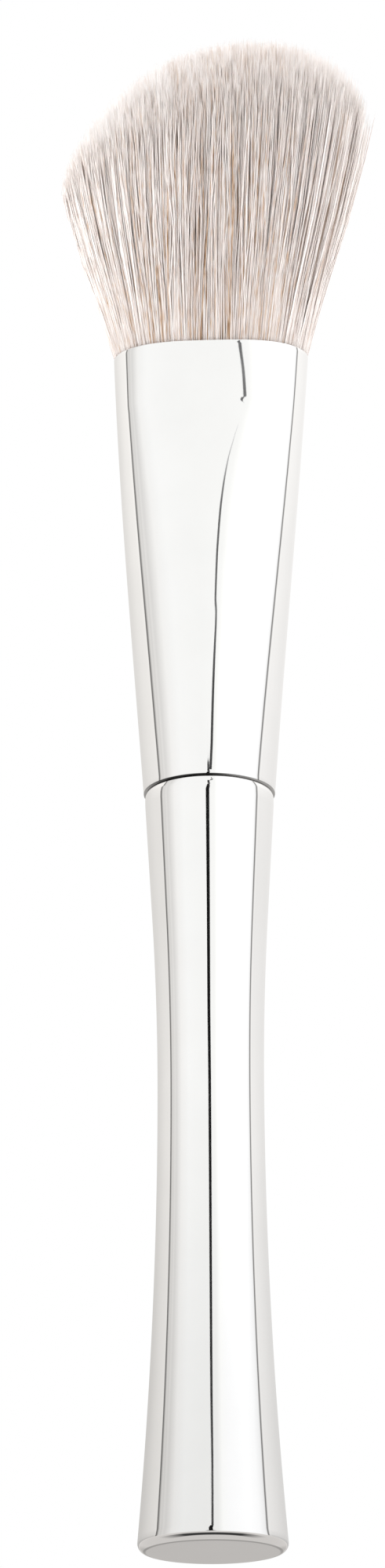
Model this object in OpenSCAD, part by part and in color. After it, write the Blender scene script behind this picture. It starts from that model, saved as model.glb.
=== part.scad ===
// Angled blush brush, standing on the flat foot of its handle.
// The origin is the centre of the foot, +Z runs up the handle, and +X points to the long side of the hair.

/* [Handle] */
// Height of the handle from its foot to its shoulder
handle_len = 79.6; // [70:0.2:110]
// Diameter of the foot before its edge is rounded
foot_d = 15.1; // [13.5:0.1:20]
// Radius of the rounded edge of the foot
foot_edge_r = 0.5; // [0.3:0.1:1.5]
// Diameter of the waist, the thinnest place of the handle
waist_d = 10.95; // [8:0.05:12.5]
// Height of the waist above the foot
waist_z = 48; // [36:1:50]
// Diameter of the neck at its widest place, just under the ferrule
neck_d = 13.46; // [12.6:0.02:13.7]
// Height in which the handle bends from its waist into the straight neck
neck_bend = 18; // [6:1:20]
// Height in which the neck turns upright again under its crown
neck_turn = 1; // [0.5:0.5:5]
// Height of the crown, in which the neck rolls inward up to the shoulder
crown_h = 1.8; // [0.5:0.1:2.5]
// Radius of the crown
crown_r = 8.2; // [6:0.2:20]
// Radius of the broken edge of the shoulder
shoulder_edge_r = 0.25; // [0.1:0.05:0.4]

/* [Tenon] */
// Height of the tenon that is glued into the ferrule
tenon_len = 9; // [5:0.5:13]
// Chamfer round the top of the tenon
tenon_chamfer = 0.6; // [0.2:0.1:1.2]
// Number of glue grooves round the tenon
groove_count = 2; // [1:1:3]
// Height of a glue groove
groove_h = 0.9; // [0.4:0.1:1.2]
// Depth of a glue groove
groove_depth = 0.3; // [0.1:0.05:0.5]
// Gap between the tenon and the ferrule at the tightest place
tenon_gap = 0.06; // [0.04:0.01:0.2]

/* [Ferrule] */
// Height of the ferrule from its lower lip to its mouth
ferrule_len = 49.8; // [40:0.2:70]
// Diameter over the round lower lip of the ferrule
lip_d = 13.76; // [13.6:0.02:15]
// Radius of the rounded edge of the lower lip
lip_edge_r = 0.32; // [0.1:0.02:0.4]
// Thickness of the sheet that the ferrule is drawn from
ferrule_wall = 0.45; // [0.3:0.05:0.8]
// Width over the pressed mouth
mouth_w = 21; // [16:0.2:26]
// Thickness over the oval of the mouth, before its front and back are pressed in
mouth_t = 11.2; // [9:0.1:13]
// How late the ferrule thins front to back on its way up, where 1 is a straight cone
thin_power = 1.6; // [1:0.1:3]
// How flat the front and back of the mouth's oval are, where 2 is an ellipse
mouth_flat = 2.6; // [2:0.05:3.5]
// How far the front and back are pressed in at the mouth
mouth_press = 0.3; // [0:0.05:0.6]
// How far the front and back are pressed in at the crease below the mouth
crease_press = 0.83; // [0:0.05:1]
// How late the press deepens on the way up to the crease, where 1 is a straight slope
press_power = 4; // [2:0.5:8]
// Height of the band between the crease and the mouth
band_h = 7; // [4:0.5:12]
// How far the two narrow sides bow out in their upper half
side_bow = 0.15; // [0:0.01:0.4]
// How far the mouth leans towards the long side
mouth_lean = 0.4; // [0:0.05:0.8]

/* [Resin] */
// Height of the cured resin under the roots of the hair
resin_h = 6; // [3:0.5:9]
// Gap between the resin and the ferrule
resin_gap = 0.04; // [0.02:0.01:0.1]

/* [Hair] */
// Depth of the hair's roots below the mouth
root_depth = 17; // [12:0.5:20]
// Gap between the roots of the hair and the ferrule
hair_gap = 0.15; // [0.1:0.05:0.3]
// Height of the middle of the hair's widest ring above the mouth
shoulder_h = 23.8; // [18:0.2:34]
// Width of the widest ring, measured along its slope
fan_w = 35.4; // [26:0.2:42]
// Thickness of the widest ring, front to back
fan_t = 19; // [13:0.5:24]
// Sideways shift of the widest ring towards the long side
fan_shift = 1.3; // [0:0.1:2]
// Slope of the angled trim, rising to the long side
trim_angle = 14.5; // [0:0.5:30]
// Height of the domed tip over the widest ring
dome_h = 12.6; // [6:0.2:16]
// How full the dome is on the long side, where 2 is an ellipse
dome_full_long = 2.2; // [1.8:0.05:2.6]
// How full the dome is on the short side, where 2 is an ellipse
dome_full_short = 1.55; // [1.4:0.05:2.6]
// How far the sides of the fan bow out
fan_bow = 0.6; // [0:0.1:1.5]
// Number of hair locks round the tuft
lock_count = 34; // [12:1:40]
// Depth of the furrows between two locks
lock_depth = 0.3; // [0:0.05:0.5]

/* [Hidden] */
$fn = 96;

// Points round a section, rows of the ferrule and of the hair, and points along an arc of the handle
round_n = 64;
ferrule_rows = 20;
strand_n = 4 * lock_count;
root_rows = 4;
fan_rows = 12;
dome_rows = 8;
arc_n = 16;
edge_n = 5;

foot_r = foot_d / 2;
waist_r = waist_d / 2;
neck_r = neck_d / 2;
lip_r = lip_d / 2;
shoulder_z = handle_len;
mouth_z = shoulder_z + ferrule_len;
crease_h = ferrule_len - band_h;
root_h = ferrule_len - root_depth;

// The flare is one arc that is upright at the waist and reaches the foot's full radius at its edge
flare_h = waist_z - foot_edge_r;
flare_gain = foot_r - waist_r;
flare_r = (flare_h * flare_h + flare_gain * flare_gain) / (2 * flare_gain);
// The neck is a bend, a straight cone and a turn back to upright, which share the whole gain in radius.
// The crown rolls on from upright by its own angle, and the broken edge of the shoulder ends the roll.
crown_angle = asin(crown_h / crown_r);
neck_top_z = shoulder_z - shoulder_edge_r * (1 - sin(crown_angle)) - crown_h;
crown_top_r = neck_r - crown_r * (1 - cos(crown_angle));
neck_cone = neck_top_z - waist_z - neck_bend - neck_turn;
neck_angle = atan((neck_r - waist_r) / (neck_cone + (neck_bend + neck_turn) / 2));
bend_r = neck_bend / sin(neck_angle);
turn_r = neck_turn / sin(neck_angle);

// Points of an arc, as [radius from the axis, height]
function arc_points(centre, r, from, to, n) =
    [for (i = [0 : n]) let (a = from + (to - from) * i / n) centre + r * [cos(a), sin(a)]];

// Half sizes, sideways lean, flatness and press of the ferrule's outer section at a height above its lip
function rise(h) = h / ferrule_len;
function bow(h) = side_bow * 27 / 4 * pow(rise(h), 2) * (1 - rise(h));
function half_w(h) = lip_r + (mouth_w / 2 - lip_r) * rise(h) + bow(h);
function lean(h) = mouth_lean * pow(rise(h), 2);
function half_t(h) = lip_r - (lip_r - mouth_t / 2) * pow(rise(h), thin_power);
function flat(h) = 2 + (mouth_flat - 2) * pow(rise(h), 3);
function press(h) = h <= crease_h
    ? crease_press * pow(h / crease_h, press_power)
    : crease_press + (mouth_press - crease_press) * (h - crease_h) / band_h;

// Point of the ferrule's section at an angle and a height, drawn in from the outside by a distance. It is an
// oval whose front and back are flattened, and are then pressed in most at their middle.
function section(a, h, inset) =
    let (u = sign(cos(a)) * pow(abs(cos(a)), 2 / flat(h)))
    [lean(h) + (half_w(h) - inset) * u,
     (half_t(h) - inset) * sin(a) - press(h) * sign(sin(a)) * pow(1 - u * u, 2)];

// Ring of the ferrule at a height above its lip, drawn in from the outside by a distance
function ferrule_ring(h, inset) =
    [for (i = [0 : round_n - 1])
        let (p = section(360 * i / round_n, h, inset)) [p[0], p[1], shoulder_z + h]];

// Faces between rings that all have the same count of points
function skin(rings, n) =
    [for (j = [0 : rings - 2], i = [0 : n - 1])
        let (k = (i + 1) % n, a = j * n, b = (j + 1) * n)
        each [[a + i, b + i, b + k], [a + i, b + k, a + k]]];
// Faces that join the last ring of a tube to its first, and flat ends of a solid one
function closing(rings, n) =
    [for (i = [0 : n - 1])
        let (k = (i + 1) % n, a = (rings - 1) * n)
        each [[a + i, i, k], [a + i, k, a + k]]];
function first_cap(n) = [[for (i = [0 : n - 1]) i]];
function last_cap(rings, n) = [[for (i = [0 : n - 1]) rings * n - 1 - i]];

// The tenon is sized from the tightest place of the bore that it enters
bore_r = min(half_t(tenon_len) - press(tenon_len), half_w(0)) - ferrule_wall - lean(tenon_len);
tenon_r = bore_r - tenon_gap;
groove_pitch = (tenon_len - tenon_chamfer) / (groove_count + 1);

module handle_profile() {
    polygon(concat(
        [[0, 0]],
        arc_points([foot_r - foot_edge_r, foot_edge_r], foot_edge_r, -90, 0, edge_n),
        [for (i = [1 : arc_n])
            let (z = foot_edge_r + flare_h * i / arc_n, d = waist_z - z)
            [waist_r + flare_r - sqrt(flare_r * flare_r - d * d), z]],
        [for (i = [1 : arc_n])
            let (a = neck_angle * i / arc_n)
            [waist_r + bend_r * (1 - cos(a)), waist_z + bend_r * sin(a)]],
        [for (i = [arc_n / 2 : -1 : 0])
            let (a = neck_angle * i / (arc_n / 2))
            [neck_r - turn_r * (1 - cos(a)), neck_top_z - turn_r * sin(a)]],
        [for (i = [1 : edge_n])
            let (a = crown_angle * i / edge_n)
            [neck_r - crown_r * (1 - cos(a)), neck_top_z + crown_r * sin(a)]],
        [for (i = [1 : edge_n])
            let (a = crown_angle + (90 - crown_angle) * i / edge_n)
            [crown_top_r - shoulder_edge_r * (cos(crown_angle) - cos(a)),
             shoulder_z - shoulder_edge_r * (1 - sin(a))]],
        [[tenon_r, shoulder_z]],
        [for (g = [1 : groove_count], c = [0 : 3])
            let (z = shoulder_z + groove_pitch * g + (c < 2 ? -1 : 1) * groove_h / 2)
            [tenon_r - (c == 1 || c == 2 ? groove_depth : 0), z]],
        [[tenon_r, shoulder_z + tenon_len - tenon_chamfer],
         [tenon_r - tenon_chamfer, shoulder_z + tenon_len],
         [0, shoulder_z + tenon_len]]
    ));
}

// Handle turned from one bar, with its tenon
module handle() {
    color([0.88, 0.88, 0.89]) rotate_extrude() handle_profile();
}

// Heights of the ferrule's rows, with one row on the crease
crease_row = round(ferrule_rows * crease_h / ferrule_len);
function row_h(j) = j <= crease_row
    ? lip_edge_r + (crease_h - lip_edge_r) * j / crease_row
    : crease_h + band_h * (j - crease_row) / (ferrule_rows - crease_row);

// Ferrule drawn as one tube: the outside goes up from the lip, the inside comes back down
module ferrule() {
    lip = [for (i = [0 : edge_n - 1])
        let (a = 90 * i / edge_n) ferrule_ring(lip_edge_r * (1 - sin(a)), lip_edge_r * (1 - cos(a)))];
    outside = [for (j = [0 : ferrule_rows]) ferrule_ring(row_h(j), 0)];
    inside = [for (j = [ferrule_rows : -1 : 1])
        if (j == crease_row || j % 2 == 0) ferrule_ring(row_h(j), ferrule_wall)];
    foot = [ferrule_ring(0, ferrule_wall)];
    rings = concat([for (i = [edge_n - 1 : -1 : 1]) lip[i]], outside, inside, foot,
        [ferrule_ring(0, lip_edge_r)]);
    color([0.9, 0.9, 0.91])
        polyhedron(points = [for (r = rings) each r],
            faces = concat(skin(len(rings), round_n), closing(len(rings), round_n)), convexity = 4);
}

// Plug of cured resin, which fills the ferrule below the roots of the hair
module resin_plug() {
    rings = [for (j = [root_rows : -1 : 0])
        ferrule_ring(root_h - resin_h * j / root_rows, ferrule_wall + resin_gap)];
    color([0.78, 0.66, 0.42])
        polyhedron(points = [for (r = rings) each r],
            faces = concat(first_cap(round_n), skin(len(rings), round_n), last_cap(len(rings), round_n)));
}

// Furrows between the locks, uneven round the tuft, as a distance to draw a strand in
function furrow(a, amount) =
    lock_depth * amount * (0.5 - 0.32 * cos(lock_count * a) - 0.18 * cos(round(lock_count * 0.38) * a + 40));

// Section of the hair inside the ferrule at a height above the lip
function root_ring(h) =
    [for (i = [0 : strand_n - 1])
        let (p = section(360 * i / strand_n, h, ferrule_wall + hair_gap)) [p[0], p[1], shoulder_z + h]];

// Point of the dome: an angle round the tuft and an angle up from the widest ring
function dome_point(a, up, inset) =
    let (full = (dome_full_long + dome_full_short) / 2 + (dome_full_long - dome_full_short) / 2 * cos(a),
         out = pow(cos(up), 2 / full), high = pow(sin(up), 2 / full),
         along = (fan_w / 2 - inset) * out * cos(a), lift = dome_h * high)
    [fan_shift + along * cos(trim_angle) - lift * sin(trim_angle),
     (fan_t / 2 - inset) * out * sin(a),
     mouth_z + shoulder_h + along * sin(trim_angle) + lift * cos(trim_angle)];

// Ring of the fan between the mouth, at 0, and the widest ring, at 1
function fan_ring(t, mouth) =
    [for (i = [0 : strand_n - 1])
        let (a = 360 * i / strand_n, high = dome_point(a, 0, furrow(a, t)), swell = fan_bow * 4 * t * (1 - t))
        mouth[i] + (high - mouth[i]) * t + swell * [cos(a), sin(a), 0]];

function dome_ring(up) =
    [for (i = [0 : strand_n - 1]) let (a = 360 * i / strand_n) dome_point(a, up, furrow(a, cos(up)))];

// Tuft of hair: roots in the ferrule, a fan of locks, and the angled dome of the tips
module hair_tuft() {
    up_step = 90 / (dome_rows + 0.5);
    mouth = root_ring(ferrule_len);
    rings = concat(
        [for (j = [0 : root_rows]) root_ring(root_h + root_depth * j / root_rows)],
        [for (j = [1 : fan_rows]) fan_ring(j / fan_rows, mouth)],
        [for (j = [1 : dome_rows]) dome_ring(up_step * j)]
    );
    tip = len(rings) * strand_n;
    last = tip - strand_n;
    color([0.86, 0.81, 0.78])
        polyhedron(points = concat([for (r = rings) each r], [dome_point(0, 90, 0)]),
            faces = concat(first_cap(strand_n), skin(len(rings), strand_n),
                [for (i = [0 : strand_n - 1]) [last + i, tip, last + (i + 1) % strand_n]]), convexity = 4);
}

handle();
ferrule();
resin_plug();
hair_tuft();
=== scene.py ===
"""Finish of the angled blush brush: polished metal, resin, fibres, and the studio that it is seen in.

The sizes follow those of the solids, with finer edges. Lengths are in metres, +Z runs up the handle,
+X points to the long side of the hair and -Y to the front of the flattened mouth.
"""

import math

import bpy
import numpy as np
from mathutils import Matrix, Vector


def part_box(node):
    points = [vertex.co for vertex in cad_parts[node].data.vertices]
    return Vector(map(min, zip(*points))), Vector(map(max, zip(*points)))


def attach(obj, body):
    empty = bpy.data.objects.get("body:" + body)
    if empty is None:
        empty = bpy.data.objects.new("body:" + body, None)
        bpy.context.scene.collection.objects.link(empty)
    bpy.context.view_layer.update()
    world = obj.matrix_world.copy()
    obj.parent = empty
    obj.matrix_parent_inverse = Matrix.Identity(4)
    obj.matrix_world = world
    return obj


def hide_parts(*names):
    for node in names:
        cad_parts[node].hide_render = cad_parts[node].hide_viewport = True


bl_info = {
    "name": "Angled blush brush",
    "version": (1, 0, 0),
    "blender": (4, 5, 0),
    "location": "View3D > Sidebar > Blush brush",
    "description": "Makes the finished pieces of an angled blush brush and its studio",
    "category": "Object",
}

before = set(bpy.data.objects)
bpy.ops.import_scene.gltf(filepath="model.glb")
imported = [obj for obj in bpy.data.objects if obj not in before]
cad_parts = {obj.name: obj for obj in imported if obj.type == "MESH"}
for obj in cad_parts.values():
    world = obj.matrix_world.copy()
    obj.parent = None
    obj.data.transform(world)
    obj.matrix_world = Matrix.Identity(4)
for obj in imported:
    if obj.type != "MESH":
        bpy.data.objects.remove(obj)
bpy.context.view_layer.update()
HANDLE_LOW, HANDLE_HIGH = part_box("handle")
FERRULE_LOW, FERRULE_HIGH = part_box("ferrule")
HAIR_LOW, HAIR_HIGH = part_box("hair_tuft")

MM = 0.001
BODY = "root"
TURN = 2 * math.pi
STRAND_MAP = "OFBake"
FERRULE_H = FERRULE_HIGH.z - FERRULE_LOW.z


# Settings


def length(name, description, default):
    """A size in metres that a user may change."""
    return bpy.props.FloatProperty(
        name=name, description=description, default=default, min=0.0, unit="LENGTH", precision=5
    )


def number(name, description, default, low=0.0, high=100.0):
    """A plain number that a user may change."""
    return bpy.props.FloatProperty(
        name=name, description=description, default=default, min=low, max=high
    )


def whole(name, description, default):
    """A count that a user may change."""
    return bpy.props.IntProperty(name=name, description=description, default=default, min=1)


def angle(name, description, degrees):
    """An angle, shown in degrees, that a user may change."""
    return bpy.props.FloatProperty(
        name=name, description=description, default=math.radians(degrees), subtype="ANGLE"
    )


def colour(name, description, default):
    """A linear colour that a user may change."""
    return bpy.props.FloatVectorProperty(
        name=name, description=description, default=default, size=3, min=0.0, max=1.0, subtype="COLOR"
    )


class HandleSettings(bpy.types.PropertyGroup):
    """Sizes and finish of the turned handle."""

    foot_edge_r: length("Foot edge", "Radius of the rounded edge of the foot", 0.9 * MM)
    waist_r: length("Waist radius", "Radius of the thinnest place", 5.475 * MM)
    waist_z: length("Waist height", "Height of the waist above the foot", 48 * MM)
    neck_r: length("Neck radius", "Radius under the ferrule", 6.73 * MM)
    neck_bend: length("Neck bend", "Height of the bend from the waist into the neck", 18 * MM)
    neck_turn: length("Neck turn", "Height of the turn back to upright", 1.0 * MM)
    crown_h: length("Crown height", "Height in which the neck rolls inward up to the shoulder", 0.5 * MM)
    crown_r: length("Crown radius", "Radius of the crown", 2.4 * MM)
    shoulder_edge_r: length("Shoulder edge", "Radius of the broken edge of the shoulder", 0.13 * MM)
    tenon_gap: length("Tenon gap", "Gap between the tenon and the bore of the ferrule", 0.06 * MM)
    tenon_chamfer: length("Tenon chamfer", "Chamfer round the top of the tenon", 0.6 * MM)
    groove_h: length("Groove height", "Height of a glue groove", 0.9 * MM)
    groove_depth: length("Groove depth", "Depth of a glue groove", 0.3 * MM)
    groove_count: whole("Grooves", "Number of glue grooves", 2)
    tint: colour("Metal", "Colour of the polished plating", (0.93, 0.93, 0.932))
    polish: number("Roughness", "Mean roughness of the polish", 0.035, 0.0, 1.0)
    # Painted shade: share of the metal's colour left at the foot, where the metal reflects less light
    foot_shade: number("Foot tint", "Share of the metal's colour that is left at the foot", 0.88, 0.0, 1.0)


class FerruleSettings(bpy.types.PropertyGroup):
    """Sizes and finish of the drawn and pressed ferrule."""

    lip_edge_r: length("Lip edge", "Radius of the rounded edge of the lower lip", 0.12 * MM)
    rim_edge_r: length("Rim edge", "Radius of the eased edges of the mouth", 0.1 * MM)
    wall: length("Wall", "Thickness of the sheet", 0.45 * MM)
    mouth_half_t: length("Mouth half thickness", "Half thickness of the mouth before its press", 5.6 * MM)
    thin_power: number("Thinning", "How late the ferrule thins upwards, where 1 is a cone", 1.6, 1.0, 4.0)
    mouth_flat: number("Mouth flatness", "Flatness of front and back, where 2 is an ellipse", 2.6, 2.0, 4.0)
    mouth_press: length("Mouth press", "How far the front and back are pressed in at the mouth", 0.3 * MM)
    crease_press: length("Crease press", "How far they are pressed in at the crease", 0.83 * MM)
    press_power: number("Press", "How late the press deepens up to the crease", 4.0, 1.0, 9.0)
    band_h: length("Band height", "Height of the band between the crease and the mouth", 7 * MM)
    crease_ease: length("Crease ease", "Half height over which the bend of the crease is spread", 0.45 * MM)
    side_bow: length("Side bow", "How far the narrow sides bow out in their upper half", 0.15 * MM)
    tint: colour("Metal", "Colour of the polished plating", (0.935, 0.935, 0.937))
    polish: number("Roughness", "Mean roughness of the polish", 0.03, 0.0, 1.0)


class HairSettings(bpy.types.PropertyGroup):
    """Sizes, counts and colours of the fibres."""

    hair_gap: length("Root gap", "Gap between the fibres and the ferrule", 0.15 * MM)
    shoulder_h: length("Shoulder height", "From the mouth to the middle of the widest ring", 23.8 * MM)
    fan_half_w: length("Half width", "Half width of the widest ring along its slope", 17.7 * MM)
    fan_half_t: length("Half thickness", "Half thickness of the widest ring", 9.5 * MM)
    fan_shift: length("Shift", "Sideways shift of the widest ring to the long side", 1.3 * MM)
    trim_angle: angle("Trim angle", "Slope of the angled trim", 14.5)
    dome_h: length("Dome height", "Height of the domed tip over the widest ring", 12.6 * MM)
    full_long: number("Fullness, long side", "2 is an ellipse", 2.2, 1.0, 4.0)
    full_short: number("Fullness, short side", "2 is an ellipse", 1.55, 1.0, 4.0)
    fan_bow: length("Side bow", "How far the sides of the fan bow out", 0.6 * MM)
    lock_count: whole("Locks", "Number of locks round the tuft", 34)
    lock_depth: length("Lock depth", "Depth of the furrows between two locks", 0.3 * MM)
    core_inset: length("Core inset", "How far the packed core lies under the outer fibres", 1.8 * MM)
    core_drop: length("Core drop", "How far the top of the core lies under the dome", 3.6 * MM)
    fibre_r: length("Fibre radius", "Radius of a fibre where it leaves the ferrule", 0.075 * MM)
    outer_count: whole("Outer fibres", "Fibres in the outer layer", 6800)
    middle_count: whole("Middle fibres", "Fibres in the layer under it", 8500)
    inner_count: whole("Inner fibres", "Fibres that end in the dome's slopes", 12000)
    heart_count: whole("Heart fibres", "Fibres that end in the top of the dome", 9000)
    stray_count: whole("Stray fibres", "Fibres that stand proud of the tuft", 260)
    clump_count: whole("Clumps", "Number of clumps that the fibres gather in", 1500)
    # Painted light: the fibres at the two sides are made paler, as if lit more
    side_painted_light: number("Pale sides", "How much paler the fibres at the two sides are", 0.1, 0.0, 1.0)
    streak_w: number("Streak width", "Share of the half width with one tone", 0.007, 0.001, 1.0)
    streak_d: number("Streak depth", "Share of the half thickness with one tone", 0.7, 0.01, 2.0)
    shade: colour("Shade fibre", "Colour of the darkest fibres", (0.37, 0.22, 0.12))
    warm: colour("Warm fibre", "Colour of the tan fibres", (0.67, 0.49, 0.36))
    cool: colour("Cool fibre", "Colour of the greyish fibres", (0.76, 0.675, 0.635))
    pale: colour("Pale fibre", "Colour of the off-white fibres", (0.93, 0.868, 0.832))
    white: colour("White fibre", "Colour of the palest fibres", (0.985, 0.965, 0.955))
    tip: colour("Tips", "Colour that the tips fade to", (0.99, 0.935, 0.905))


class StudioSettings(bpy.types.PropertyGroup):
    """Camera, floor and lights."""

    distance: length("Distance", "Level distance from the brush's axis to the camera", 482.5 * MM)
    drop: length("Drop", "How far the camera stands below the foot", 84.6 * MM)
    heading: angle("Heading", "How far the camera stands round to the long side", 3.0)
    pitch: angle("Pitch", "How far the camera looks up", 18.93)
    pan: angle("Pan", "How far the camera looks past the axis, to the left", 0.21)
    roll: angle("Roll", "How far the camera is rolled", -0.21)
    lens: number("Lens", "Focal length in millimetres on a 36 mm long side", 111.6, 10.0, 500.0)
    floor_r: length("Floor radius", "Radius of the floor", 12.0)
    floor_hole_r: length("Floor hole", "Radius of the hole under the foot", 6.9 * MM)
    floor_tint: colour("Floor", "Colour of the floor", (0.86, 0.86, 0.86))
    key_power: number("Key light", "Power of the large soft light in watts", 5.0, 0.0, 1000.0)
    near_slit_r: length("Near slit", "Distance of the slit that the ferrule sees", 400 * MM)
    far_slit_r: length("Far slit", "Distance of the slit that the handle sees", 1200 * MM)
    fill: number("Fill", "Strength of the white that matt surfaces see", 2.65, 0.0, 10.0)


SETTINGS = {
    "brush_handle": HandleSettings,
    "brush_ferrule": FerruleSettings,
    "brush_hair": HairSettings,
    "brush_studio": StudioSettings,
}


# Meshes


def put_mesh(name, points, faces, maps=None):
    """Makes a mesh of points and of face arrays, each with faces that have the same number of corners.

    maps gives, for a UV map's name, one (u, v) for each corner of each face in the same order.
    """
    corners = np.concatenate([part.ravel() for part in faces]).astype(np.int32)
    sides = np.concatenate([np.full(len(part), part.shape[1]) for part in faces])
    mesh = bpy.data.meshes.new(name)
    mesh.vertices.add(len(points))
    mesh.vertices.foreach_set("co", np.asarray(points, np.float32).ravel())
    mesh.loops.add(len(corners))
    mesh.loops.foreach_set("vertex_index", corners)
    mesh.polygons.add(len(sides))
    starts = np.concatenate([[0], np.cumsum(sides)[:-1]]).astype(np.int32)
    mesh.polygons.foreach_set("loop_start", starts)
    mesh.update(calc_edges=True)
    for map_name, places in (maps or {}).items():
        layer = mesh.uv_layers.new(name=map_name)
        layer.data.foreach_set("uv", np.asarray(places, np.float32).ravel())
    mesh.shade_smooth()
    return mesh


def put_object(name, data):
    """Makes an object of a mesh, a camera or a lamp and links it to the scene."""
    thing = bpy.data.objects.new(name, data)
    bpy.context.scene.collection.objects.link(thing)
    return thing


def put_piece(name, mesh, material, node):
    """Links a finished mesh as a piece that rides on the brush and stands for a solid."""
    mesh.materials.append(material)
    piece = put_object(name, mesh)
    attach(piece, BODY)
    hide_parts(node)
    return piece


def joined(*parts):
    """Arrays spread to one shape and stacked along a new last axis."""
    return np.stack(np.broadcast_arrays(*parts), -1)


def round_angles(columns):
    """Angles of the columns of a surface that closes round the axis."""
    return np.arange(columns) * TURN / columns


def outwards(around):
    """Level unit vectors that point away from the axis at angles round it."""
    return np.stack([np.cos(around), np.sin(around), np.zeros(len(around))], -1)


def band_faces(rows, columns, closed_rows=False):
    """Quads between neighbouring rows of a grid with columns that close on themselves, facing outwards."""
    row = np.arange(rows if closed_rows else rows - 1)[:, None]
    column = np.arange(columns)[None, :]
    low, high = row * columns, (row + 1) % rows * columns
    beside = (column + 1) % columns
    return joined(low + column, low + beside, high + beside, high + column).reshape(-1, 4)


def pole_faces(rows, columns, low_pole, high_pole):
    """Triangles that close the first row on one pole and the last row on the other."""
    here = np.arange(columns)
    beside = (here + 1) % columns
    last = (rows - 1) * columns
    low = np.stack([np.full(columns, low_pole), beside, here], -1)
    high = np.stack([last + here, last + beside, np.full(columns, high_pole)], -1)
    return np.concatenate([low, high])


def closed_surface(name, grid, low_pole, high_pole):
    """Mesh of a grid of rows by columns by xyz, closed round its columns and at two poles."""
    rows, columns = grid.shape[:2]
    points = np.concatenate([grid.reshape(-1, 3), [low_pole, high_pole]])
    faces = [
        band_faces(rows, columns),
        pole_faces(rows, columns, rows * columns, rows * columns + 1),
    ]
    return put_mesh(name, points, faces)


def revolved(profile, columns):
    """Grid of a profile of (radius, height) rows turned round the Z axis."""
    around = round_angles(columns)
    radius, height = profile[:, :1], profile[:, 1:]
    return joined(radius * np.cos(around), radius * np.sin(around), height)


def arc(centre, radius, start, end, count):
    """Points (radius from the axis, height) of an arc between two angles, its first point left out."""
    turn = np.radians(np.linspace(start, end, count + 1)[1:, None])
    return np.asarray(centre) + radius * np.concatenate([np.cos(turn), np.sin(turn)], 1)


# Shape of the handle


def handle_profile(size, bore_r):
    """Profile of the handle from its foot to its tenon.

    The flare is one arc, upright at the waist. The neck is a bend, a straight cone and a turn back to
    upright, whose gains in radius add up to the whole gain between the waist and the neck. A crown rolls
    on inward from there, and the broken edge of the shoulder ends the roll.
    """
    foot_r, shoulder_z, tenon_top = HANDLE_HIGH.x, FERRULE_LOW.z, HANDLE_HIGH.z
    gain, flare_h = foot_r - size.waist_r, size.waist_z - size.foot_edge_r
    flare_r = (flare_h**2 + gain**2) / (2 * gain)
    roll = math.asin(size.crown_h / size.crown_r)
    neck_top = shoulder_z - size.shoulder_edge_r * (1 - math.sin(roll)) - size.crown_h
    cone = neck_top - size.waist_z - size.neck_bend - size.neck_turn
    slope = math.atan((size.neck_r - size.waist_r) / (cone + (size.neck_bend + size.neck_turn) / 2))
    bend_r, turn_r = size.neck_bend / math.sin(slope), size.neck_turn / math.sin(slope)

    flat_r = foot_r - size.foot_edge_r
    face = np.stack([flat_r * np.linspace(0.1, 1, 8), np.zeros(8)], 1)
    edge = arc((flat_r, size.foot_edge_r), size.foot_edge_r, -90, 0, 14)
    flare_z = np.linspace(size.foot_edge_r, size.waist_z, 91)[1:]
    flare = np.stack(
        [size.waist_r + flare_r - np.sqrt(flare_r**2 - (size.waist_z - flare_z) ** 2), flare_z], 1
    )
    bend = arc((size.waist_r + bend_r, size.waist_z), bend_r, 180, 180 - math.degrees(slope), 40)
    cone_end = np.array([size.neck_r - turn_r * (1 - math.cos(slope)), neck_top - size.neck_turn])
    straight = bend[-1] + (cone_end - bend[-1]) * np.linspace(0, 1, 9)[1:, None]
    turn = arc((size.neck_r - turn_r, neck_top), turn_r, -math.degrees(slope), 0, 10)
    crown = arc((size.neck_r - size.crown_r, neck_top), size.crown_r, 0, math.degrees(roll), 14)
    edge_r = size.shoulder_edge_r
    edge_centre = (crown[-1, 0] - edge_r * math.cos(roll), shoulder_z - edge_r)
    shoulder = arc(edge_centre, edge_r, math.degrees(roll), 90, 8)

    tenon_r = bore_r - size.tenon_gap
    pitch = (tenon_top - shoulder_z - size.tenon_chamfer) / (size.groove_count + 1)
    tenon = [(tenon_r, shoulder_z)]
    for groove in range(1, size.groove_count + 1):
        low = shoulder_z + pitch * groove - size.groove_h / 2
        high = low + size.groove_h
        deep = tenon_r - size.groove_depth
        tenon += [(tenon_r, low), (deep, low), (deep, high), (tenon_r, high)]
    tenon += [(tenon_r, tenon_top - size.tenon_chamfer), (tenon_r - size.tenon_chamfer, tenon_top)]
    return np.concatenate([face, edge, flare, bend, straight, turn, crown, shoulder, tenon])


# Shape of the ferrule


def half_width(size, height):
    """Half width of the ferrule: straight from the lip to the mouth, plus a cubic that bows it out."""
    lip_r, share = FERRULE_HIGH.y, height / FERRULE_H
    mouth_r = (FERRULE_HIGH.x - FERRULE_LOW.x) / 2
    return lip_r + (mouth_r - lip_r) * share + size.side_bow * 27 / 4 * share**2 * (1 - share)


def lean(height):
    """How far the section has moved to the long side, which grows as the square of the height."""
    share = height / FERRULE_H
    return (FERRULE_HIGH.x + FERRULE_LOW.x) / 2 * share**2


def half_thickness(size, height):
    """Half thickness of the oval, from the lip to the mouth along a power of the height."""
    share = np.clip(height / FERRULE_H, 0, None)
    return FERRULE_HIGH.y - (FERRULE_HIGH.y - size.mouth_half_t) * share**size.thin_power


def flatness(size, height):
    """Flatness of the front and back, which grows from an ellipse with the cube of the height."""
    return 2 + (size.mouth_flat - 2) * (height / FERRULE_H) ** 3


def press(size, height):
    """How far front and back are pressed in: a power of the height up to the crease, then straight."""
    crease = FERRULE_H - size.band_h
    below = size.crease_press * (np.clip(height, 0, crease) / crease) ** size.press_power
    change = size.mouth_press - size.crease_press
    above = size.crease_press + change * (height - crease) / size.band_h
    return np.where(height <= crease, below, above)


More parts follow.
